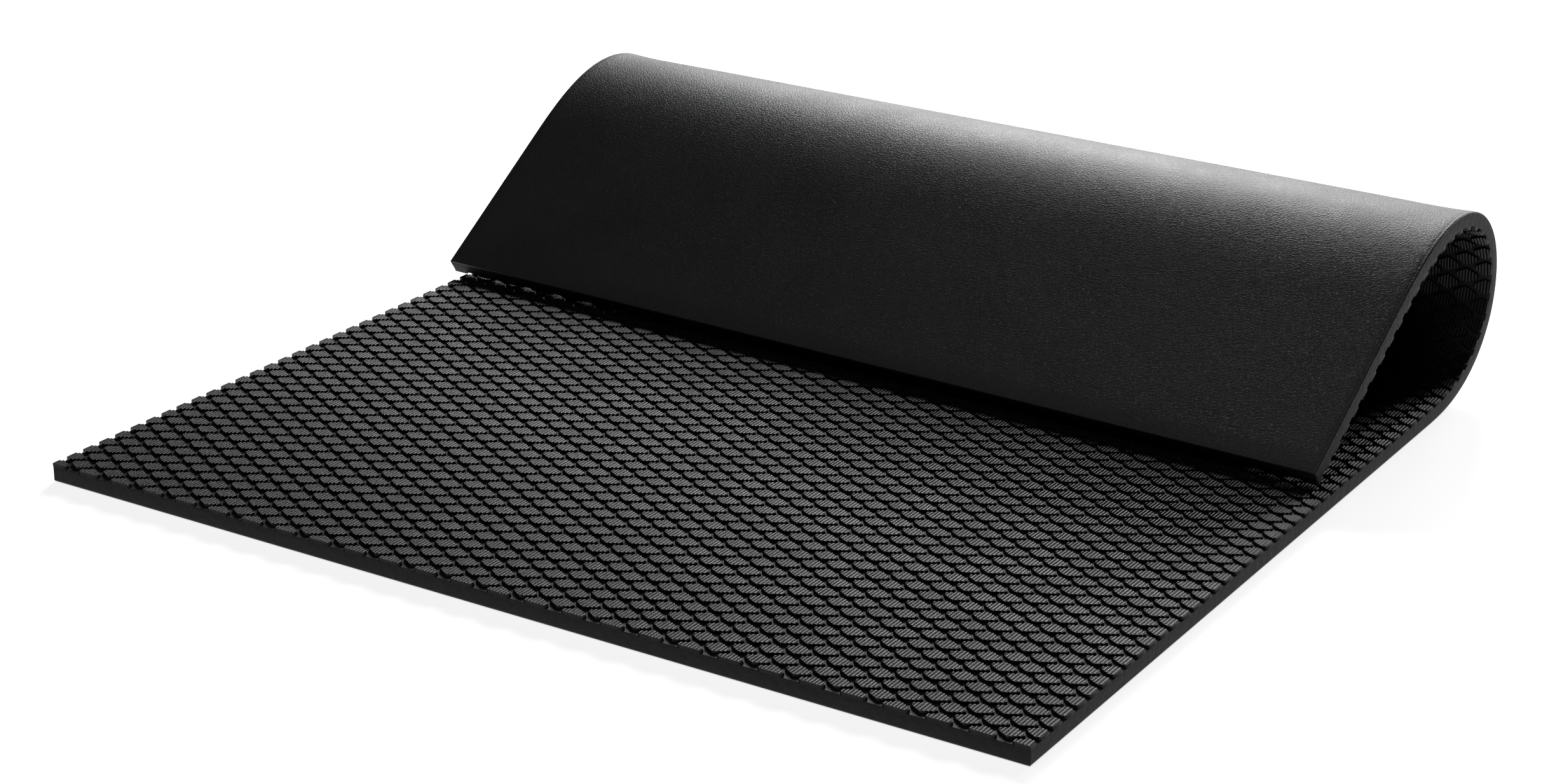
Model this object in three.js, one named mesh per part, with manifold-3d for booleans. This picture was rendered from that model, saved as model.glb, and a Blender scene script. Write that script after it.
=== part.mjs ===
// Rubber stall mat lying studs up on a floor, with its far end folded back over itself.
// Millimetres, +Z up. X runs along the near edge, the fold is on the +Y side and the free
// end of the folded part rests on the studs. Of the diagonal channels between the studs, the
// straight parts of the sheet have one in every few. The bend is solid to the stud tops.
import * as THREE from "three";
import Module from "manifold-3d";

// Sheet before folding
const WIDTH = 1219;
const LENGTH = 1829;
const THICKNESS = 22;
const SIDE_ROUND = 2.5;
const END_ROUND = 2;

// Fold of the middle line, one value for the left side and one for the right side.
// Its curvature rises evenly over LEAD_IN, holds, and falls evenly over LEAD_OUT.
const TIGHT_RADIUS = [91.6, 93.9];
const TURN_DEG = [215, 213.9];
const LEAD_IN = 223;
const LEAD_OUT = 316;
// Sideways drift of the folded part for each millimetre it comes back over the flat part
const DRIFT = 0.0165;
// The side edges of the bent part curl outwards by EDGE_FLARE and settle within FLARE_REACH
const EDGE_FLARE = 3.2;
const FLARE_REACH = 125;

// Stud pattern: pitches across and along, the first stud's middle, and the channels between
const PITCH_X = 46.46;
const PITCH_Y = 25.68;
const FIRST_X = 5.2;
const FIRST_Y = 3.5;
const CHANNEL_WIDTH = 5.2;
const CHANNEL_DEPTH = 3.8;
const CHANNEL_EVERY = 3;

// Fineness of the surface
const STEPS_IN = 12;
const STEPS_HOLD = 8;
const STEPS_OUT = 18;
const LINE_STEPS = 600;
const ROUND_STEPS = 2;

const HALF = THICKNESS / 2;
const mix = THREE.MathUtils.lerp;
const solids = await Module();
solids.setup();
const { Manifold, Mesh } = solids;

// Middle line on one side: where its stretches meet, and its place at a distance s along it
function sideLine(radius, turnDeg) {
  const hold = THREE.MathUtils.degToRad(turnDeg) * radius - (LEAD_IN + LEAD_OUT) / 2;
  const bend = LEAD_IN + hold + LEAD_OUT;
  const share = (b) => Math.max(0, Math.min(b / LEAD_IN, 1, (bend - b) / LEAD_OUT));
  const step = bend / LINE_STEPS;
  const line = [{ y: 0, z: HALF, heading: 0 }];
  for (let i = 0; i < LINE_STEPS; i++) {
    const { y, z, heading } = line[i];
    const turned = (share((i + 0.5) * step) / radius) * step;
    const middle = heading + turned / 2;
    line.push({
      y: y + Math.cos(middle) * step,
      z: z + Math.sin(middle) * step,
      heading: heading + turned,
    });
  }

  // Straight flap, long enough for its lower end corner to come down to the stud tops
  const end = line[LINE_STEPS];
  const flap = (end.z + HALF * Math.cos(end.heading) - THICKNESS) / -Math.sin(end.heading);
  const start = LENGTH - bend - flap;
  const at = (s) => {
    const b = s - start;
    if (b <= 0) return { y: s, z: HALF, heading: 0, curl: 0 };
    const i = Math.min(Math.floor(b / step), LINE_STEPS - 1);
    const on = Math.min(b / step - i, 1);
    const past = Math.max(0, b - bend);
    const heading = mix(line[i].heading, line[i + 1].heading, on);
    return {
      y: start + mix(line[i].y, line[i + 1].y, on) + Math.cos(heading) * past,
      z: mix(line[i].z, line[i + 1].z, on) + Math.sin(heading) * past,
      heading,
      curl: share(b) ** 2,
    };
  };
  return { knots: [0, start, start + LEAD_IN, start + LEAD_IN + hold, start + bend, LENGTH], at };
}

const sides = [0, 1].map((i) => sideLine(TIGHT_RADIUS[i], TURN_DEG[i]));
const knotsAt = (x) => sides[0].knots.map((k, m) => mix(k, sides[1].knots[m], x / WIDTH));

// Outward curl of the bent sheet at a distance from its nearer side edge
function flareAt(x) {
  const d = (Math.PI * Math.min(x, WIDTH - x)) / FLARE_REACH;
  return EDGE_FLARE * Math.exp(-d) * (Math.cos(d) - Math.sin(d));
}

// Carries a point of the flat sheet to its place after folding: x across the sheet, y along
// it and n from its middle towards the studs. Both side lines are read at the same share of
// the same stretch, and mixed by how far across the point lies.
function fold(x, y, n) {
  const t = x / WIDTH;
  const knots = knotsAt(x);
  let m = 0;
  while (m < knots.length - 2 && y > knots[m + 1]) m++;
  const share = (y - knots[m]) / (knots[m + 1] - knots[m]);
  const [l, r] = sides.map((side) => side.at(mix(side.knots[m], side.knots[m + 1], share)));
  const heading = mix(l.heading, r.heading, t);
  const lineY = mix(l.y, r.y, t);
  const rise = n - flareAt(x) * mix(l.curl, r.curl, t);
  return [
    x - DRIFT * (y - lineY),
    lineY - rise * Math.sin(heading),
    mix(l.z, r.z, t) + rise * Math.cos(heading),
  ];
}

// Section of the sheet, counter-clockwise seen from the near end, set in all round. The
// columns follow the curl of the side edges.
function section(inset) {
  const round = SIDE_ROUND - inset;
  const columns = [0.08, 0.18, 0.3, 0.5, 0.75, 1.2].map((share) => share * FLARE_REACH);
  const points = [];
  const corner = (x, n, from) => {
    for (let i = 0; i <= ROUND_STEPS; i++) {
      const angle = from + (Math.PI / 2) * (i / ROUND_STEPS);
      points.push([x + round * Math.cos(angle), n + round * Math.sin(angle)]);
    }
  };
  const row = (n, toLeft) => {
    const xs = [...columns, ...columns.map((c) => WIDTH - c).reverse()];
    for (const x of toLeft ? xs.reverse() : xs) points.push([x, n]);
  };
  corner(SIDE_ROUND, SIDE_ROUND - HALF, Math.PI);
  row(inset - HALF, false);
  corner(WIDTH - SIDE_ROUND, SIDE_ROUND - HALF, -Math.PI / 2);
  corner(WIDTH - SIDE_ROUND, HALF - SIDE_ROUND, 0);
  row(HALF - inset, true);
  corner(SIDE_ROUND, HALF - SIDE_ROUND, Math.PI / 2);
  return points;
}

// Rows of the sheet: rounded near end, the stretches of the bend, rounded free end
function rowsOfSheet() {
  const ends = [];
  for (let i = 0; i <= ROUND_STEPS; i++) {
    const angle = (Math.PI / 2) * (i / ROUND_STEPS);
    ends.push({ distance: END_ROUND * (1 - Math.cos(angle)), inset: END_ROUND * (1 - Math.sin(angle)) });
  }
  const rows = ends.map((e) => ({ inset: e.inset, yAt: () => e.distance }));
  [STEPS_IN, STEPS_HOLD, STEPS_OUT].forEach((steps, m) => {
    for (let i = m ? 1 : 0; i <= steps; i++) {
      rows.push({ inset: 0, yAt: (knots) => mix(knots[m + 1], knots[m + 2], i / steps) });
    }
  });
  for (const e of ends.reverse()) rows.push({ inset: e.inset, yAt: () => LENGTH - e.distance });
  return rows;
}

// The flat sheet as a closed surface, with creases across it where it is going to bend
function flatSheet() {
  const positions = [];
  const rows = rowsOfSheet();
  for (const { inset, yAt } of rows) {
    for (const [x, n] of section(inset)) positions.push(x, yAt(knotsAt(x)), n);
  }
  const ring = positions.length / 3 / rows.length;
  const index = [];
  for (let k = 0; k + 1 < rows.length; k++) {
    for (let i = 0; i < ring; i++) {
      const a = k * ring + i;
      const b = k * ring + ((i + 1) % ring);
      index.push(a, b + ring, b, a, a + ring, b + ring);
    }
  }
  // Each end face is closed between its lower and its upper row
  const last = (rows.length - 1) * ring;
  for (let a = 0; a + 1 < ring / 2; a++) {
    const b = a + 1;
    const c = ring - 2 - a;
    const d = ring - 1 - a;
    index.push(a, b, c, a, c, d);
    index.push(last + d, last + c, last + b, last + d, last + b, last + a);
  }
  return { numProp: 3, vertProperties: new Float32Array(positions), triVerts: new Uint32Array(index) };
}

// Channels run both ways along the diagonals of the stud pattern, half way between the studs.
// They are cut where the sheet stays straight: before the bend, and on the flap after it.
function channels() {
  const reach = WIDTH + LENGTH;
  const slope = THREE.MathUtils.radToDeg(Math.atan2(PITCH_Y, PITCH_X));
  const cutter = Manifold.cube([2 * reach, CHANNEL_WIDTH, 2 * CHANNEL_DEPTH], true);
  const lines = Math.ceil(WIDTH / PITCH_X + LENGTH / PITCH_Y);
  const cutters = [];
  for (let k = -lines; k <= lines; k++) {
    if (k % CHANNEL_EVERY) continue;
    const y = FIRST_Y + (k + 0.5) * PITCH_Y;
    cutters.push(cutter.rotate([0, 0, slope]).translate([FIRST_X, y, HALF]));
    cutters.push(cutter.rotate([0, 0, -slope]).translate([FIRST_X, y, HALF]));
  }
  const bendStart = Math.min(sides[0].knots[1], sides[1].knots[1]);
  const bendEnd = Math.max(sides[0].knots[4], sides[1].knots[4]);
  const straight = [
    [-END_ROUND, bendStart],
    [bendEnd, LENGTH + END_ROUND],
  ].map(([from, to]) =>
    Manifold.cube([WIDTH + 2 * SIDE_ROUND, to - from, THICKNESS]).translate([-SIDE_ROUND, from, 0]),
  );
  return Manifold.union(cutters).intersect(Manifold.union(straight));
}

function matGeometry() {
  const sheet = new Manifold(new Mesh(flatSheet())).subtract(channels());
  const { vertProperties, triVerts, numProp } = sheet.getMesh();
  const positions = [];
  for (let v = 0; v < vertProperties.length; v += numProp) {
    positions.push(...fold(vertProperties[v], vertProperties[v + 1], vertProperties[v + 2]));
  }
  const geometry = new THREE.BufferGeometry();
  geometry.setAttribute("position", new THREE.Float32BufferAttribute(positions, 3));
  geometry.setIndex([...triVerts]);
  geometry.computeBoundingBox();
  const box = geometry.boundingBox;
  const middle = box.getCenter(new THREE.Vector3());
  geometry.translate(-middle.x, -middle.y, -box.min.z);
  geometry.computeVertexNormals();
  return geometry;
}

const rubber = new THREE.MeshStandardMaterial({ name: "rubber", color: 0x1c1c1d, roughness: 0.8 });
const stallMat = new THREE.Mesh(matGeometry(), rubber);
stallMat.name = "stall_mat";

const group = new THREE.Group();
group.name = "rubber_stall_mat";
group.add(stallMat);

export default group;
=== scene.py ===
"""Rubber stall mat: the ribbed studs, the grained smooth side and the studio round it."""

import math

import bpy
import numpy as np
from mathutils import Matrix, Vector


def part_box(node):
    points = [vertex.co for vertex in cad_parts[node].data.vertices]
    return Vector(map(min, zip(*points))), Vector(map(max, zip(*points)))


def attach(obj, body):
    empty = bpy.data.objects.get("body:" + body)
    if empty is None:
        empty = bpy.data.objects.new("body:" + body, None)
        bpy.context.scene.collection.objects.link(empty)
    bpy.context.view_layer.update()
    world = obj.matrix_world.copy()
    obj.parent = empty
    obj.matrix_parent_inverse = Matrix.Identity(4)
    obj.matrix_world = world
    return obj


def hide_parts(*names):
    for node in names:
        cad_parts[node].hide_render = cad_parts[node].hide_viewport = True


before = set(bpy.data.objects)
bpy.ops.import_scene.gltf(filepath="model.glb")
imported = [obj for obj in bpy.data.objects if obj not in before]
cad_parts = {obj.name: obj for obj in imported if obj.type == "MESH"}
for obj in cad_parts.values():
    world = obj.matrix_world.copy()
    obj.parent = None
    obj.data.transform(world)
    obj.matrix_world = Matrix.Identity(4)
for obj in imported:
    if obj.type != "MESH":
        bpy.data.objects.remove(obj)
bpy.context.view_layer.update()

bl_info = {
    "name": "Rubber stall mat",
    "version": (1, 0, 0),
    "blender": (4, 5, 0),
    "location": "3D View > Sidebar > Stall Mat",
    "description": "Builds the studs, the smooth side and the studio of a folded rubber stall mat",
    "category": "Object",
}


def length(name, description, default, **more):
    """A size in metres, shown in the scene's own unit."""
    return bpy.props.FloatProperty(
        name=name, description=description, default=default, unit="LENGTH", precision=5, **more
    )


def angle(name, description, degrees):
    """An angle, shown in degrees and kept in radians."""
    return bpy.props.FloatProperty(
        name=name,
        description=description,
        default=math.radians(degrees),
        unit="ROTATION",
        subtype="ANGLE",
    )


def colour(name, description, default):
    """A colour in linear red, green and blue."""
    return bpy.props.FloatVectorProperty(
        name=name, description=description, default=default, subtype="COLOR", min=0, max=1
    )


def place(name, description, default):
    """A place in metres."""
    return bpy.props.FloatVectorProperty(
        name=name,
        description=description,
        default=default,
        unit="LENGTH",
        subtype="TRANSLATION",
        precision=4,
    )


def number(name, description, default, **more):
    """A plain number, such as a roughness."""
    return bpy.props.FloatProperty(name=name, description=description, default=default, **more)


class MatSheet(bpy.types.PropertyGroup):
    """Sizes of the sheet and of its fold."""

    width: length("Width", "Across the sheet", 1.219)
    length: length("Length", "Along the sheet before it is folded", 1.829)
    thickness: length("Thickness", "From the smooth side to the stud tops", 0.022)
    groove: length("Groove depth", "From the stud tops down to the floor of the grooves", 0.0038)
    smooth_round: length("Smooth edge", "Rounding of the edges of the smooth side", 0.0018)
    cut_round: length("Cut edge", "Rounding of the edges of the studded side", 0.0005)
    rim: length("Rim", "Width of the lower rim round the smooth side", 0.0045)
    rim_slope: length("Rim slope", "Width of the slope from the rim up to the smooth side", 0.0011)
    rim_step: length("Rim step", "How much lower the rim is than the smooth side", 0.00025)
    tight_left: length("Left radius", "Tightest radius of the fold on the left side", 0.0916)
    tight_right: length("Right radius", "Tightest radius of the fold on the right side", 0.0939)
    turn_left: angle("Left turn", "How far the left side is folded back", 215)
    turn_right: angle("Right turn", "How far the right side is folded back", 213.9)
    lead_in: length("Lead in", "Length over which the bend tightens", 0.223)
    lead_out: length("Lead out", "Length over which the bend fades", 0.316)
    drift: number("Drift", "Sideways drift of the folded part for each metre of return", 0.0165)
    flare: length("Edge flare", "Outward curl of the side edges where the bend is tightest", 0.0032)
    flare_reach: length("Flare reach", "How far in from the edge the curl settles", 0.125)


class MatStuds(bpy.types.PropertyGroup):
    """Sizes of the moulded studs and the ribs on them."""

    pitch_x: length("Pitch across", "From stud to stud across the sheet", 0.04646)
    pitch_y: length("Pitch along", "From stud to stud along the sheet", 0.02568)
    first_x: length("First across", "Middle of the first stud, from the left edge", 0.0052)
    first_y: length("First along", "Middle of the first stud, from the near edge", 0.0035)
    half_width: length("Half width", "From the middle of a stud to its tip", 0.0140)
    half_depth: length("Half depth", "From the middle of a stud to its front", 0.0095)
    slant: number("Slant", "How fast the outline narrows towards the tips", 0.62)
    crown: length("Crown", "Rounding of the outline at the front and back", 0.0015)
    foot: length("Foot", "How much wider a stud is at its base", 0.0005)
    rib_pitch: length("Rib pitch", "From rib to rib", 0.00372)
    rib_depth: length("Rib depth", "Depth of the valleys between the ribs", 0.0011)
    rib_flank: length("Rib flank", "Width of each sloping side of a rib", 0.00135)
    rib_shift: length("Rib shift", "Middle of the nearest rib, from the middle of the stud", -0.0011)


class MatRubber(bpy.types.PropertyGroup):
    """Finish of the rubber."""

    smooth: colour("Smooth side", "Colour of the smooth side", (0.0080, 0.0080, 0.0082))
    studs: colour("Studs", "Colour of the studs", (0.0060, 0.0060, 0.0061))
    # The grooves' colour is half that of the studs: painted shade for the shadow that falls on the
    # floor of the grooves between the studs.
    grooves: colour("Grooves", "Colour of the grooves", (0.0030, 0.0030, 0.0031))
    cut: colour("Cut edges", "Colour of the side and end faces", (0.0060, 0.0060, 0.0061))
    smooth_rough: number("Smooth roughness", "Roughness of the smooth side", 0.46)
    stud_rough: number("Stud roughness", "Roughness of the studs", 0.34)
    stud_ior: number("Stud IOR", "Refraction of the porous crumb of the studs", 1.3)
    grain: length("Grain", "Size of one pebble of the smooth side's grain", 0.0034)
    grain_height: length("Grain height", "Height of the pebbles", 0.00020)
    crumb: length("Crumb", "Size of the rubber crumbs that show on the studs", 0.0011)


class MatStudio(bpy.types.PropertyGroup):
    """The camera, the floor and the lights. Places are from the near left corner of the sheet."""

    camera_place: place("Camera", "Place of the camera", (2.3914, -2.3545, 1.4023))
    camera_heading: angle("Heading", "Turn of the camera to the left of straight ahead", 31.523)
    camera_fall: angle("Fall", "How far the camera looks down", 21.521)
    camera_roll: angle("Roll", "Tilt of the camera about its own line of sight", 0.760)
    camera_lens: number("Lens", "Focal length in millimetres on a 36 mm sensor", 73.437)
    floor_colour: colour("Floor", "Colour of the floor", (0.93, 0.93, 0.93))
    floor_glow: number("Floor glow", "Light that the floor gives off, as a light table does", 0.75)
    floor_reach: length("Floor reach", "From the middle of the floor to its edges", 9.0)
    floor_gap: length("Floor gap", "How far the floor lies under the mat", 0.0002)
    light_aim: place("Light aim", "Point over the mat that every softbox faces", (0.6, 0.75, 0.1))
    light_distance: length("Light distance", "From that point to each softbox", 4.0)
    key: number("Key", "Power of the wide softbox behind the mat in watts", 125)
    low: number("Low", "Power of the low softbox behind the mat in watts", 60)
    front: number("Front", "Power of the high softbox on the camera's side in watts", 22)
    side: number("Side", "Power of the softbox on the left in watts", 6)


SHEET_NODE = "stall_mat"

# Steps along each stretch of the sheet: flat part, lead in, tightest part, lead out, flap
ROWS_ALONG = (9, 48, 24, 64, 7)
STRETCHES = len(ROWS_ALONG)
# Distances from a side edge at which the sheet has columns, on the rim and past its slope
RIM_COLUMN = 0.004
EDGE_COLUMNS = (0.013, 0.022, 0.033, 0.046, 0.062, 0.082, 0.108, 0.142, 0.19)
# How many more columns lie evenly over the middle, and how far in the first of them is
MIDDLE_COLUMNS = 8
MIDDLE_FROM = 0.25
# Points of each rounded corner of the section, of a side line's bend, and of the grid over the
# sheet that its reach is measured on
CORNER_POINTS = 5
LINE_POINTS = 6001
REACH_GRID = (41, 1501)
# Width of the camera's sensor in millimetres
SENSOR_WIDTH = 36
# The studs' pieces, from the near end to the free end of the sheet
STUD_BANDS = ("studs_near", "studs_middle", "studs_fold", "studs_flap")

# Each softbox: its bearing in degrees to the left of straight behind the mat, its rise in
# degrees above the floor, and its width and height in metres
SOFTBOXES = {
    "key": (22, 28, (2.0, 1.7)),
    "low": (-10, 12, (1.6, 1.6)),
    "front": (211, 62, (2.5, 2.5)),
    "side": (130, 50, (2.5, 2.5)),
}


def running_sum(values, steps):
    """Trapezoid sum of values up to each place, starting from nought."""
    return np.concatenate([[0.0], np.cumsum((values[1:] + values[:-1]) / 2 * steps)])


class FoldedSide:
    """Middle line of the sheet on one side edge, from the near end to the free end.

    The curvature is min(s / lead in, 1, (bend - s) / lead out) / radius, the heading is its
    running sum, and y and z are the running sums of the heading's cosine and sine. A straight
    flap follows, long enough for its lower end corner to come down to the stud tops.
    """

    def __init__(self, sheet, radius, turn):
        half = sheet.thickness / 2
        hold = turn * radius - (sheet.lead_in + sheet.lead_out) / 2
        bend = sheet.lead_in + hold + sheet.lead_out
        s = np.linspace(0, bend, LINE_POINTS)
        share = np.clip(np.minimum(s / sheet.lead_in, (bend - s) / sheet.lead_out), 0, 1)
        steps = np.diff(s)
        heading = running_sum(share / radius, steps)
        y = running_sum(np.cos(heading), steps)
        z = half + running_sum(np.sin(heading), steps)
        last = heading[-1]
        flap = (z[-1] + half * math.cos(last) - sheet.thickness) / -math.sin(last)
        start = sheet.length - bend - flap
        self.knots = np.cumsum([0, start, sheet.lead_in, hold, sheet.lead_out, flap])
        self.s = np.concatenate([[0], start + s, [sheet.length]])
        self.y = np.concatenate([[0], start + y, [start + y[-1] + flap * math.cos(last)]])
        self.z = np.concatenate([[half], z, [z[-1] + flap * math.sin(last)]])
        self.heading = np.concatenate([[0], heading, [last]])
        self.curl = np.concatenate([[0], share**2, [0]])

    def read(self, share):
        """The line's y, z, heading and curl at a share that is a whole number at each knot."""
        s = np.interp(share, np.arange(STRETCHES + 1), self.knots)
        return [np.interp(s, self.s, line) for line in (self.y, self.z, self.heading, self.curl)]


class FoldedSheet:
    """Carries a point of the flat sheet, x across, y along and n towards the studs, into the room.

    Both side lines are read at the same share of each stretch and mixed by x / width. The point
    stands off the mixed line by n along its normal, less the outward curl of the side edges,
    flare * exp(-d) * (cos d - sin d) with d = pi * distance from the edge / reach.
    """

    def __init__(self, sheet):
        self.width = sheet.width
        self.length = sheet.length
        self.half = sheet.thickness / 2
        self.drift = sheet.drift
        self.flare = sheet.flare
        self.reach = sheet.flare_reach
        self.sides = (
            FoldedSide(sheet, sheet.tight_left, sheet.turn_left),
            FoldedSide(sheet, sheet.tight_right, sheet.turn_right),
        )
        self.shift = np.zeros(3)
        across, along = REACH_GRID
        x = np.linspace(0, self.width, across)
        x, share = np.meshgrid(x, np.linspace(0, STRETCHES, along))
        y = self.along(x, share)
        skin = np.concatenate([self.place(x, y, np.full_like(x, n)) for n in (-self.half, self.half)])
        low, high = skin.min((0, 1)), skin.max((0, 1))
        box_low, box_high = (np.array(corner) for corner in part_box(SHEET_NODE))
        self.shift = np.array([box_high[0] - high[0], *(box_low - low)[1:]])

    def knots(self, x):
        """Where the stretches meet along the sheet, at a distance x from the left edge."""
        left, right = self.sides
        return left.knots + (x / self.width)[..., None] * (right.knots - left.knots)

    def along(self, x, share):
        """Distance along the sheet at a share that is a whole number at each knot."""
        knots = self.knots(x)
        below = np.clip(share.astype(int), 0, STRETCHES - 1)[..., None]
        start = np.take_along_axis(knots, below, -1)[..., 0]
        end = np.take_along_axis(knots, below + 1, -1)[..., 0]
        return start + (share - below[..., 0]) * (end - start)

    def place(self, x, y, n):
        """Where the points of the flat sheet lie in the room, in a last axis of three."""
        t = x / self.width
        knots = self.knots(x)
        share = np.clip((y[..., None] - knots[..., :-1]) / np.diff(knots, axis=-1), 0, 1).sum(-1)
        left, right = (side.read(share) for side in self.sides)
        line_y, line_z, heading, curl = (a + t * (b - a) for a, b in zip(left, right))
        d = math.pi * np.minimum(x, self.width - x) / self.reach
        rise = n - self.flare * np.exp(-d) * (np.cos(d) - np.sin(d)) * curl
        folded = [
            x - self.drift * (y - line_y),
            line_y - rise * np.sin(heading),
            line_z + rise * np.cos(heading),
        ]
        return np.stack(folded, -1) + self.shift


def make_mesh(name, points, faces, slots=None, crease=60):
    """Puts arrays into a mesh. Faces are a list of arrays of point numbers, one row a face.
    Edges that bend by more than crease degrees stay sharp."""
    mesh = bpy.data.meshes.new(name)
    corners = np.concatenate([f.ravel() for f in faces])
    sizes = np.concatenate([np.full(len(f), f.shape[1]) for f in faces])
    mesh.vertices.add(len(points))
    mesh.vertices.foreach_set("co", points.astype(np.float32).ravel())
    mesh.loops.add(len(corners))
    mesh.loops.foreach_set("vertex_index", corners.astype(np.int32))
    mesh.polygons.add(len(sizes))
    starts = np.concatenate([[0], np.cumsum(sizes)[:-1]])
    mesh.polygons.foreach_set("loop_start", starts.astype(np.int32))
    if slots is not None:
        mesh.polygons.foreach_set("material_index", slots.astype(np.int32))
    mesh.update(calc_edges=True)
    if mesh.validate():
        raise RuntimeError(f"{name} came out with faulty faces")
    mesh.shade_smooth()
    mesh.set_sharp_from_angle(angle=math.radians(crease))
    thing = bpy.data.objects.new(name, mesh)
    bpy.context.scene.collection.objects.link(thing)
    return thing


def hand_over(thing, materials):
    """Gives a finished piece its materials and lets it ride on the part."""
    for material in materials:
        thing.data.materials.append(material)
    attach(thing, "root")


def inset(distance, radius):
    """Quarter circle: how far an edge of that radius is set in at a distance from the end."""
    left = np.clip(radius - distance, 0, None)
    return radius - np.sqrt(radius**2 - left**2)


def slab(sheet, fold):
    """The sheet from its smooth side up to the floor of the grooves.

    A ring of section points is carried along the sheet: two rows of columns, one on each face,
    joined by quarter circles. Near both ends the ring is set in by a quarter circle. The smooth
    side's rim is lower by rim step * (1 - up * up * (3 - 2 * up)), where up runs from 0 to 1
    over the slope inside the rim.
    """
    ramp = sheet.rim + sheet.rim_slope * np.linspace(0, 1, 4)
    edge = np.concatenate([[RIM_COLUMN], ramp, EDGE_COLUMNS])
    middle = np.linspace(MIDDLE_FROM, sheet.width - MIDDLE_FROM, MIDDLE_COLUMNS)
    columns = np.concatenate([edge, middle, sheet.width - edge[::-1]])
    top = fold.half - sheet.groove
    big, small = sheet.smooth_round, sheet.cut_round
    least_round = 0.08

    stretches = [
        np.linspace(m, m + 1, steps, endpoint=False) for m, steps in enumerate(ROWS_ALONG)
    ]
    share = np.concatenate(stretches)[1:]
    quarter = np.linspace(0, math.pi / 2, CORNER_POINTS)
    near = np.concatenate([big * (1 - np.cos(quarter)), ramp])
    ends = len(near)
    distance = np.concatenate([near, np.full(len(share), big), near[::-1]])
    rows = len(distance)

    big_in = inset(distance, big)
    small_in = inset(distance, small)
    side_in = inset(distance, big / 2)

    def corner(radius, taken, left, lower):
        """Quarter circle of the section at one of its four corners, for every row."""
        r = np.maximum(radius - np.maximum(taken, side_in), radius * least_round)[:, None]
        right_angles = (2 if left else 3) if lower else (1 if left else 0)
        a = right_angles * math.pi / 2 + quarter[None, :]
        x = side_in[:, None] + r if left else sheet.width - side_in[:, None] - r
        n = -fold.half + taken[:, None] + r if lower else top - taken[:, None] - r
        return x + r * np.cos(a), n + r * np.sin(a)

    def row(height, x):
        """Straight row of the section at its own height in every row of the sheet."""
        return np.tile(x, (rows, 1)), np.tile(height[:, None], (1, len(x)))

    parts = [
        corner(big, big_in, left=True, lower=True),
        row(-fold.half + big_in, columns),
        corner(big, big_in, left=False, lower=True),
        corner(small, small_in, left=False, lower=False),
        row(top - small_in, columns[::-1]),
        corner(small, small_in, left=True, lower=False),
    ]
    x = np.concatenate([p[0] for p in parts], 1)
    n = np.concatenate([p[1] for p in parts], 1)
    ring = x.shape[1]
    y = np.empty_like(x)
    y[:ends] = near[:, None]
    y[rows - ends:] = sheet.length - near[::-1, None]
    y[ends:rows - ends] = fold.along(x[ends:rows - ends], np.tile(share[:, None], (1, ring)))
    in_from_edge = np.minimum.reduce([x, sheet.width - x, y, sheet.length - y])
    up = np.clip((in_from_edge - ramp[0]) / (ramp[-1] - ramp[0]), 0, 1)
    n = n + sheet.rim_step * (1 - up * up * (3 - 2 * up)) * (n < 0)
    points = fold.place(x, y, n).reshape(-1, 3)

    k, i = np.meshgrid(np.arange(rows - 1), np.arange(ring), indexing="ij")
    a = k * ring + i
    b = k * ring + (i + 1) % ring
    walls = np.stack([a, a + ring, b + ring, b], -1).reshape(-1, 4)
    # The ring starts with the smooth side and its two corners, climbs the cut edge on the right,
    # and comes back over the floor of the grooves
    smooth, cut, groove = range(3)
    smooth_last = 2 * CORNER_POINTS + len(columns) - 1
    floor_first = smooth_last + CORNER_POINTS
    kind = np.full(ring, cut)
    kind[:smooth_last] = smooth
    kind[floor_first:floor_first + len(columns) + 1] = groove
    slots = np.tile(kind, rows - 1)

    # Each end face is closed between the ring's lower half and its upper half
    c = np.arange(ring // 2 - 1)
    cap = np.stack([c, c + 1, ring - 2 - c, ring - 1 - c], -1)
    far = (rows - 1) * ring + cap[:, ::-1]
    slots = np.concatenate([slots, np.full(2 * len(cap), cut)])
    return make_mesh("mat_sheet", points, [walls, cap, far], slots, crease=50)


def stud_columns(studs, low, high):
    """Places of the creases across one stud, from low to high, and how far each lies under the
    stud's top. Each rib has two ends and two shoulders, and falls from the shoulders to the
    valleys in straight flanks."""
    narrowest = 0.0006
    first = math.ceil((low - studs.rib_shift) / studs.rib_pitch - 0.5)
    last = math.floor((high - studs.rib_shift) / studs.rib_pitch + 0.5)
    valleys = studs.rib_shift + (np.arange(first, last + 1) + 0.5) * studs.rib_pitch
    valleys = valleys[(valleys > low + narrowest) & (valleys < high - narrowest)]
    ends = np.concatenate([[low], valleys, [high]])
    width = np.diff(ends)
    flank = np.minimum(studs.rib_flank, width / 3)
    x = np.stack([ends[:-1], ends[:-1] + flank, ends[1:] - flank], -1).ravel()
    x = np.append(x, high)
    off = np.abs((x - studs.rib_shift) / studs.rib_pitch + 0.5)
    off = np.abs(off - np.round(off)) * studs.rib_pitch
    drop = studs.rib_depth * np.clip(1 - off / studs.rib_flank, 0, 1)
    return x, drop


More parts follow.
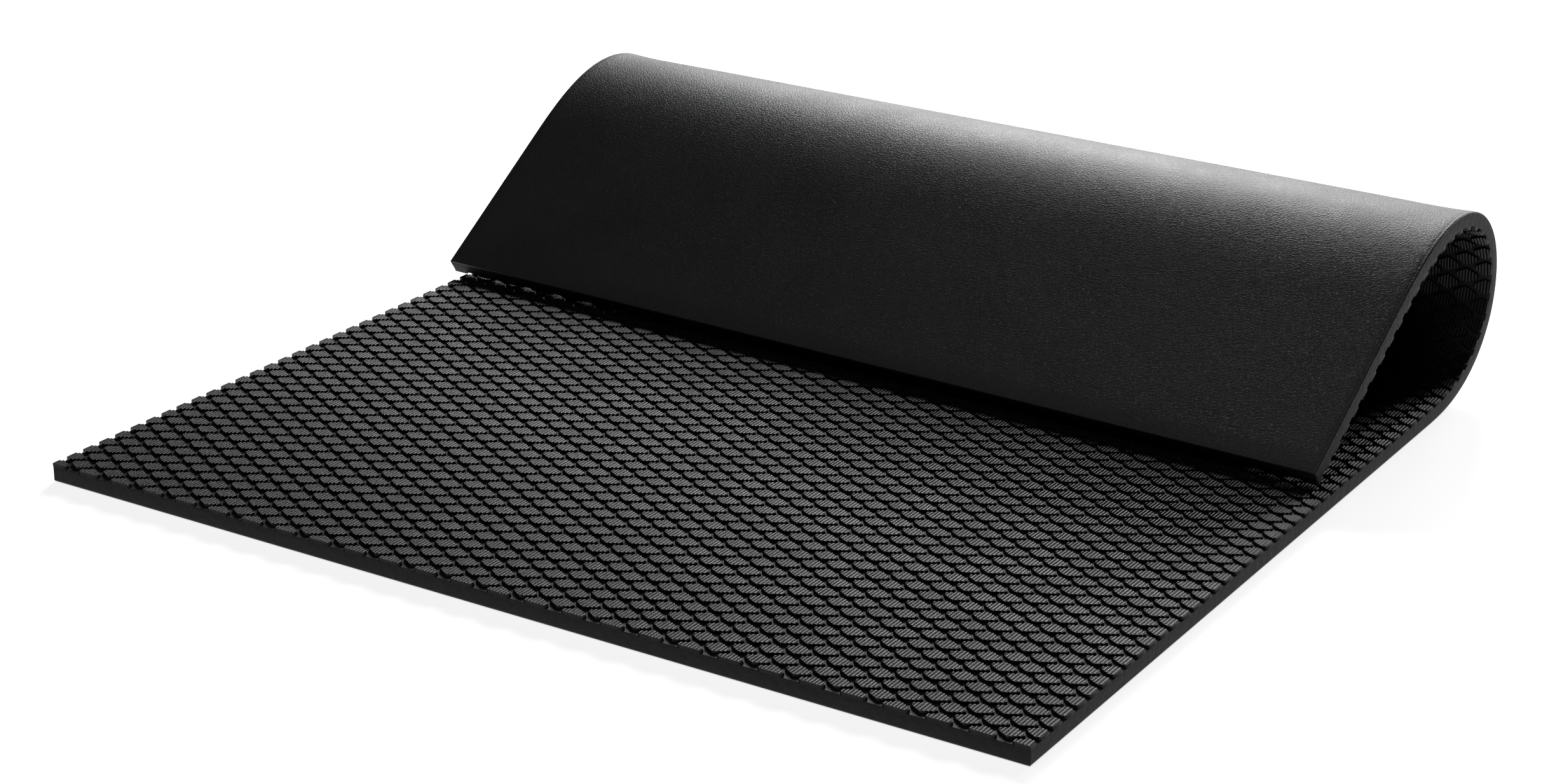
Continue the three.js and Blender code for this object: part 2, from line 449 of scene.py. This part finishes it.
def stud_band(name, sheet, studs, fold, rows):
    """Studs of some rows. Each is an outline carried from its foot to its ribbed top.

    Half its depth at x is half depth - slant * (sqrt(x * x + crown * crown) - crown), times
    sqrt(0.45 + 0.55 * distance from the tip / tip reach) near the tips. Studs that the sheet's
    edges cut are kept as far as a hair from the edge, and every foot is sunk into the sheet.
    """
    hair = 0.00006
    sunk = 0.0004
    narrowest = 0.002
    tip_reach = 0.0016
    points, faces, slots = [], [], []
    count = 0
    step_x, step_y = studs.pitch_x / 2, studs.pitch_y / 2
    across = np.arange(int((sheet.width - studs.first_x + studs.half_width) / step_x) + 1)
    i, j = (g.ravel() for g in np.meshgrid(across, rows))
    keep = (i + j) % 2 == 0
    cx = studs.first_x + i[keep] * step_x
    cy = studs.first_y + j[keep] * step_y
    low = np.maximum(-studs.half_width, hair - cx)
    high = np.minimum(studs.half_width, sheet.width - hair - cx)
    # Studs that the side edges cut alike are made together
    for lo, hi in np.unique(np.round(np.stack([low, high], -1), 7), axis=0):
        mine = (np.abs(low - lo) < 1e-6) & (np.abs(high - hi) < 1e-6)
        if hi - lo < narrowest:
            continue
        x, drop = stud_columns(studs, lo, hi)
        half = studs.half_depth - studs.slant * (np.sqrt(x**2 + studs.crown**2) - studs.crown)
        tip = (studs.half_width - np.abs(x)) / tip_reach
        half = half * np.sqrt(np.clip(0.45 + 0.55 * tip, 0.3, 1))
        sx, sy = cx[mine][:, None], cy[mine][:, None]
        front_limit = sy - hair
        back_limit = sheet.length - hair - sy
        front = np.minimum(half[None, :], front_limit)
        back = np.minimum(half[None, :], back_limit)
        height = np.tile(fold.half - drop, (len(sx), 1))
        base = np.arange(0, len(x), 3)
        foot = half[base] + studs.foot
        foot_x = x[base] * (1 + studs.foot / studs.half_width)
        foot_x = np.clip(sx + foot_x, hair, sheet.width - hair)
        foot_front = np.minimum(foot[None, :], front_limit)
        foot_back = np.minimum(foot[None, :], back_limit)
        low_n = np.full_like(foot_x, fold.half - sheet.groove - sunk)
        all_x = np.concatenate([sx + x, sx + x, foot_x, foot_x], 1)
        all_y = np.concatenate([sy - front, sy + back, sy - foot_front, sy + foot_back], 1)
        all_n = np.concatenate([height, height, low_n, low_n], 1)
        points.append(fold.place(all_x, all_y, all_n).reshape(-1, 3))

        # Numbers of one stud's points: front and back of its top, then front and back of its foot
        columns, feet = len(x), len(base)
        tf, tb = np.arange(columns), columns + np.arange(columns)
        bf, bb = 2 * columns + np.arange(feet), 2 * columns + feet + np.arange(feet)
        top = np.stack([tf[:-1], tf[1:], tb[1:], tb[:-1]], -1)
        f, b = base[:-1], base[1:]
        front_wall = np.stack([bf[:-1], bf[1:], tf[b], tf[b - 1], tf[f + 1], tf[f]], -1)
        back_wall = np.stack([bb[1:], bb[:-1], tb[f], tb[f + 1], tb[b - 1], tb[b]], -1)
        tips = np.array([
            [bb[0], bf[0], tf[0], tb[0]],
            [bf[-1], bb[-1], tb[-1], tf[-1]],
        ])
        under = np.concatenate([[bf[0]], bb, bf[:0:-1]])[None, :]
        start = count + np.arange(mine.sum()) * all_x.shape[1]
        at_sides = np.array([lo > -studs.half_width + hair, hi < studs.half_width - hair])
        at_near, at_far = front_limit < studs.half_depth, back_limit < studs.half_depth
        for block, trimmed in (
            (top, False),
            (front_wall, at_near),
            (back_wall, at_far),
            (tips, at_sides[None, :]),
            (under, False),
        ):
            faces.append((start[:, None, None] + block[None]).reshape(-1, block.shape[1]))
            slots.append(np.broadcast_to(trimmed, (len(start), len(block))).ravel())
        count += mine.sum() * all_x.shape[1]
    return make_mesh(name, np.concatenate(points), faces, np.concatenate(slots), crease=62)


# Where most values of a noise lie
MOST_NOISE = (0.3, 0.7)


class Nodes:
    """Short hand for building a node tree on Object coordinates."""

    def __init__(self, name):
        self.material = bpy.data.materials.new(name)
        self.material.use_nodes = True
        self.tree = self.material.node_tree
        self.shader = self.tree.nodes["Principled BSDF"]
        self.place = self.tree.nodes.new("ShaderNodeTexCoord").outputs["Object"]

    def node(self, kind, settings=None, **inputs):
        """A new node. Each input is a value, or the socket that it is linked to."""
        node = self.tree.nodes.new(kind)
        for key, value in (settings or {}).items():
            setattr(node, key, value)
        for key, value in inputs.items():
            socket = node.inputs[key.replace("_", " ")]
            if isinstance(value, bpy.types.NodeSocket):
                self.tree.links.new(value, socket)
            else:
                socket.default_value = value
        return node

    def noise(self, size, detail=2.0, roughness=0.5):
        """Soft noise with lumps of about that size."""
        node = self.node("ShaderNodeTexNoise", Vector=self.place)
        node.inputs["Scale"].default_value = 1 / size
        node.inputs["Detail"].default_value = detail
        node.inputs["Roughness"].default_value = roughness
        return node.outputs["Fac"]

    def cells(self, size, wander):
        """Distance to the nearest border between cells of that size, with wandering borders."""
        push = self.node("ShaderNodeTexNoise", Vector=self.place, Scale=1 / size, Detail=1.0)
        push = self.node("ShaderNodeVectorMath", {"operation": "SCALE"}, Vector=push.outputs["Color"])
        push.inputs["Scale"].default_value = wander * size
        moved = self.node("ShaderNodeVectorMath", {"operation": "ADD"})
        self.tree.links.new(self.place, moved.inputs[0])
        self.tree.links.new(push.outputs["Vector"], moved.inputs[1])
        node = self.node(
            "ShaderNodeTexVoronoi",
            {"feature": "DISTANCE_TO_EDGE"},
            Vector=moved.outputs["Vector"],
            Scale=1 / size,
        )
        return node.outputs["Distance"]

    def span(self, value, given, wanted):
        """Maps the given range onto the wanted one, clamped."""
        node = self.node("ShaderNodeMapRange", Value=value)
        for key, limit in zip(("From Min", "From Max", "To Min", "To Max"), (*given, *wanted)):
            node.inputs[key].default_value = limit
        return node.outputs["Result"]

    def bump(self, pattern, height, over=None):
        """Relief of a pattern, of that height in metres, laid over another relief."""
        node = self.node("ShaderNodeBump", Height=pattern, Distance=height, Strength=1.0)
        if over is not None:
            self.tree.links.new(over, node.inputs["Normal"])
        return node.outputs["Normal"]

    def shade(self, base, value):
        """The base colour times a number from the pattern."""
        mix = self.node("ShaderNodeVectorMath", {"operation": "SCALE"})
        mix.inputs[0].default_value = base
        self.tree.links.new(value, mix.inputs["Scale"])
        self.tree.links.new(mix.outputs["Vector"], self.shader.inputs["Base Color"])

    def finish(self, roughness, normal):
        """Gives the shader its roughness and relief, and the material to the caller."""
        self.tree.links.new(roughness, self.shader.inputs["Roughness"])
        self.tree.links.new(normal, self.shader.inputs["Normal"])
        return self.material


def smooth_rubber(rubber):
    """Moulded smooth side: fine pebbles, faint clouds and a soft waviness."""
    m = Nodes("smooth_rubber")
    pebble = m.span(m.cells(rubber.grain, wander=0.6), (0.0, 0.28), (0.0, 1.0))
    fine = m.noise(rubber.grain / 3, detail=3.0, roughness=0.6)
    cloud = m.noise(0.09, detail=3.0, roughness=0.55)
    wave = m.noise(0.28, detail=1.0)
    m.shade(rubber.smooth, m.span(cloud, MOST_NOISE, (0.85, 1.18)))
    dull = rubber.smooth_rough
    rough = m.span(cloud, MOST_NOISE, (dull - 0.03, dull + 0.04))
    relief = m.bump(wave, height=0.004)
    relief = m.bump(pebble, rubber.grain_height, over=relief)
    relief = m.bump(fine, rubber.grain_height * 0.6, over=relief)
    return m.finish(rough, relief)


def stud_rubber(rubber):
    """Studs of pressed crumb: finely speckled, and a little duller in soft patches."""
    m = Nodes("stud_rubber")
    m.shader.inputs["IOR"].default_value = rubber.stud_ior
    crumb = m.noise(rubber.crumb, detail=3.0, roughness=0.65)
    patch = m.noise(0.06)
    m.shade(rubber.studs, m.span(crumb, (0.35, 0.7), (0.7, 1.5)))
    dull = rubber.stud_rough
    rough = m.span(patch, MOST_NOISE, (dull - 0.05, dull + 0.06))
    return m.finish(rough, m.bump(crumb, height=0.00025))


def groove_rubber(rubber):
    """Floor of the grooves: even and dull, in a darker colour that is painted shade for the shadow
    that falls between the studs.
    """
    m = Nodes("groove_rubber")
    m.shader.inputs["Specular IOR Level"].default_value = 0.4
    fine = m.noise(0.0016, detail=3.0, roughness=0.6)
    # The darker groove colour paints in the shade between the studs. The noise only varies its tone
    # at random.
    m.shade(rubber.grooves, m.span(fine, (0.35, 0.65), (0.85, 1.15)))
    rough = m.span(fine, MOST_NOISE, (0.55, 0.68))
    return m.finish(rough, m.bump(fine, height=0.00015))


def cut_rubber(rubber):
    """Trimmed side and end faces: matt with a torn, lumpy surface."""
    m = Nodes("cut_rubber")
    m.shader.inputs["Specular IOR Level"].default_value = 0.3
    lump = m.noise(0.009, detail=3.0, roughness=0.6)
    fine = m.noise(0.0014, detail=3.0, roughness=0.65)
    m.shade(rubber.cut, m.span(lump, MOST_NOISE, (0.8, 1.25)))
    rough = m.span(fine, MOST_NOISE, (0.65, 0.8))
    relief = m.bump(fine, height=0.0002, over=m.bump(lump, height=0.0012))
    return m.finish(rough, relief)


def finishes(rubber, *makers):
    """The materials that the makers name, each made once and then shared."""
    return [bpy.data.materials.get(make.__name__) or make(rubber) for make in makers]


class STALLMAT_OT_sheet(bpy.types.Operator):
    """Builds the sheet itself, with its smooth side, cut edges and groove floor"""

    bl_idname = "stall_mat.sheet"
    bl_label = "Build sheet"

    def execute(self, context):
        scene = context.scene
        sheet, rubber = scene.mat_sheet, scene.mat_rubber
        thing = slab(sheet, FoldedSheet(sheet))
        hand_over(thing, finishes(rubber, smooth_rubber, cut_rubber, groove_rubber))
        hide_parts(SHEET_NODE)
        return {"FINISHED"}


class STALLMAT_OT_studs(bpy.types.Operator):
    """Builds all the ribbed studs, in four bands along the sheet"""

    bl_idname = "stall_mat.studs"
    bl_label = "Build studs"

    def execute(self, context):
        scene = context.scene
        sheet, studs = scene.mat_sheet, scene.mat_studs
        fold = FoldedSheet(sheet)
        materials = finishes(scene.mat_rubber, stud_rubber, cut_rubber)
        # The last row of studs has its middle at least a millimetre inside the free end
        last_middle = sheet.length - 0.001
        total = int((last_middle - studs.first_y) / (studs.pitch_y / 2)) + 1
        bands = np.array_split(np.arange(total), len(STUD_BANDS))
        for name, rows in zip(STUD_BANDS, bands):
            hand_over(stud_band(name, sheet, studs, fold, rows), materials)
        return {"FINISHED"}


def soft_light(name, aim, bearing, rise, distance, size, power):
    """A softbox of that power at a distance from the aim, which it faces. Its bearing, rise and
    size are as in SOFTBOXES."""
    lamp = bpy.data.lights.new(name, "AREA")
    lamp.shape = "RECTANGLE"
    lamp.size, lamp.size_y = size
    lamp.energy = power
    thing = bpy.data.objects.new(name, lamp)
    bearing, rise = math.radians(bearing), math.radians(rise)
    level = math.cos(rise)
    way = Vector((-math.sin(bearing) * level, math.cos(bearing) * level, math.sin(rise)))
    turn = (-way).to_track_quat("-Z", "Y")
    thing.matrix_world = Matrix.Translation(aim + way * distance) @ turn.to_matrix().to_4x4()
    bpy.context.scene.collection.objects.link(thing)


class STALLMAT_OT_studio(bpy.types.Operator):
    """Sets up the pale floor, the soft lights and the camera"""

    bl_idname = "stall_mat.studio"
    bl_label = "Set up studio"

    def execute(self, context):
        scene = context.scene
        studio = scene.mat_studio
        room = Vector(FoldedSheet(scene.mat_sheet).shift)

        corners = np.array([[-1, -1, 0], [1, -1, 0], [1, 1, 0], [-1, 1, 0]]) * studio.floor_reach
        floor = make_mesh("floor", corners - [0, 0, studio.floor_gap], [np.array([[0, 1, 2, 3]])])
        pale = bpy.data.materials.new("pale_floor")
        pale.use_nodes = True
        shader = pale.node_tree.nodes["Principled BSDF"]
        shader.inputs["Base Color"].default_value = (*studio.floor_colour, 1)
        shader.inputs["Roughness"].default_value = 0.7
        shader.inputs["Specular IOR Level"].default_value = 0.2
        shader.inputs["Emission Color"].default_value = (1, 1, 1, 1)
        shader.inputs["Emission Strength"].default_value = studio.floor_glow
        floor.data.materials.append(pale)

        world = bpy.data.worlds.new("surround")
        world.use_nodes = True
        world.node_tree.nodes["Background"].inputs["Color"].default_value = (0, 0, 0, 1)
        scene.world = world

        aim = Vector(studio.light_aim) + room
        for key, (bearing, rise, size) in SOFTBOXES.items():
            power = getattr(studio, key)
            soft_light(f"{key}_softbox", aim, bearing, rise, studio.light_distance, size, power)

        camera = bpy.data.cameras.new("camera")
        camera.lens = studio.camera_lens
        camera.sensor_width = SENSOR_WIDTH
        thing = bpy.data.objects.new("camera", camera)
        thing.matrix_world = (
            Matrix.Translation(Vector(studio.camera_place) + room)
            @ Matrix.Rotation(studio.camera_heading, 4, "Z")
            @ Matrix.Rotation(math.pi / 2 - studio.camera_fall, 4, "X")
            @ Matrix.Rotation(studio.camera_roll, 4, "Z")
        )
        scene.collection.objects.link(thing)
        scene.camera = thing
        scene.view_settings.view_transform = "Standard"
        return {"FINISHED"}


class STALLMAT_PT_tools(bpy.types.Panel):
    """Sidebar panel with the sizes, the finish and the three building steps"""

    bl_idname = "STALLMAT_PT_tools"
    bl_label = "Stall Mat"
    bl_space_type = "VIEW_3D"
    bl_region_type = "UI"
    bl_category = "Stall Mat"

    def draw(self, context):
        layout = self.layout
        for label, group, step in (
            ("Sheet", "mat_sheet", STALLMAT_OT_sheet),
            ("Studs", "mat_studs", STALLMAT_OT_studs),
            ("Rubber", "mat_rubber", None),
            ("Studio", "mat_studio", STALLMAT_OT_studio),
        ):
            box = layout.box()
            box.label(text=label)
            settings = getattr(context.scene, group)
            for key in settings.__annotations__:
                box.prop(settings, key)
            if step:
                box.operator(step.bl_idname)


SETTINGS = (
    ("mat_sheet", MatSheet),
    ("mat_studs", MatStuds),
    ("mat_rubber", MatRubber),
    ("mat_studio", MatStudio),
)
PARTS = (STALLMAT_OT_sheet, STALLMAT_OT_studs, STALLMAT_OT_studio, STALLMAT_PT_tools)


def register():
    """Makes the settings and the steps known to Blender."""
    for name, group in SETTINGS:
        bpy.utils.register_class(group)
        setattr(bpy.types.Scene, name, bpy.props.PointerProperty(type=group))
    for part in PARTS:
        bpy.utils.register_class(part)


def unregister():
    """Takes them out again, in the opposite order."""
    for part in reversed(PARTS):
        bpy.utils.unregister_class(part)
    for name, group in reversed(SETTINGS):
        delattr(bpy.types.Scene, name)
        bpy.utils.unregister_class(group)


def main():
    """Builds the studio and the mat."""
    register()
    bpy.ops.stall_mat.studio()
    bpy.ops.stall_mat.sheet()
    bpy.ops.stall_mat.studs()


if __name__ == "__main__":
    main()
